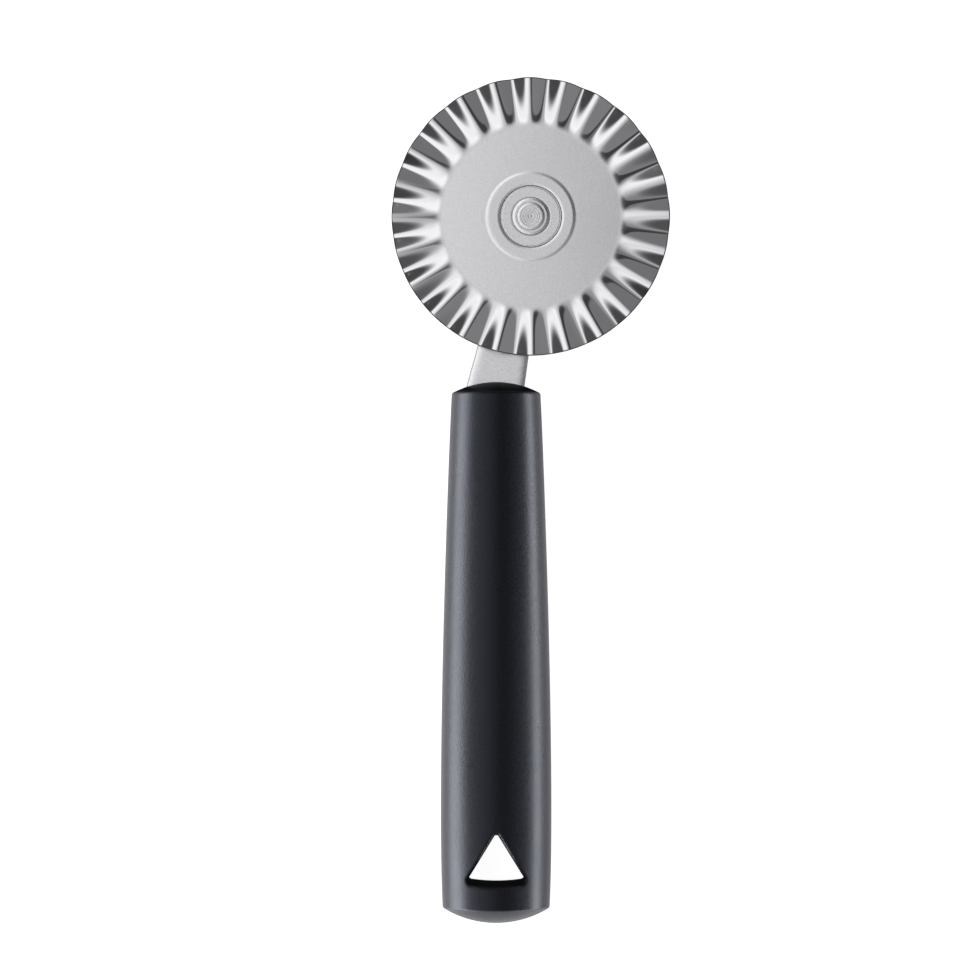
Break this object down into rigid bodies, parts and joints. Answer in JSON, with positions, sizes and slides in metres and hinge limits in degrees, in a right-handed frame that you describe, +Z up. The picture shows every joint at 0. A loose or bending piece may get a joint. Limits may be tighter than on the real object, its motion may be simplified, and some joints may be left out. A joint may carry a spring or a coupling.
{
  "type": "pastry wheel",
  "caption": "Hand-held pastry wheel: a fluted steel disc turning on a stub axle at the end of a flat tapered arm, with a round black plastic handle and a hanging hole.",
  "frame": {"origin": "Mid-length and mid-width of the whole tool on the table plane it lies on: under the axle's X, half-way between the handle's tip and the top of the rim, at the lowest line of the handle.", "axes": "The tool lies on a table. +Z is up, along the axle, out of the disc's front face; +Y runs from the handle to the disc; +X is to the right seen from above."},
  "size_m": [0.06, 0.1824, 0.0236],
  "materials": {
    "disc_steel": "satin flat face, polished flutes",
    "arm_steel": "satin",
    "axle_steel": "turned",
    "washer_steel": "satin",
    "bush_plastic": "plain",
    "handle_plastic": "fine satin grain"
  },
  "bodies": {
    "handle": {"handle_grip": "handle_plastic", "tool_arm": "arm_steel", "stub_axle": "axle_steel", "rear_spacer": "washer_steel", "front_washer": "washer_steel", "retaining_collar": "axle_steel"},
    "wheel": {"wheel_disc": "disc_steel", "bearing_bush": "bush_plastic"}
  },
  "joints": [
    {"name": "wheel_spin", "type": "hinge", "parent": "handle", "child": "wheel", "pos_m": [0, 0.06115, 0.01647], "axis": [0, 0, 1], "continuous": true}
  ]
}
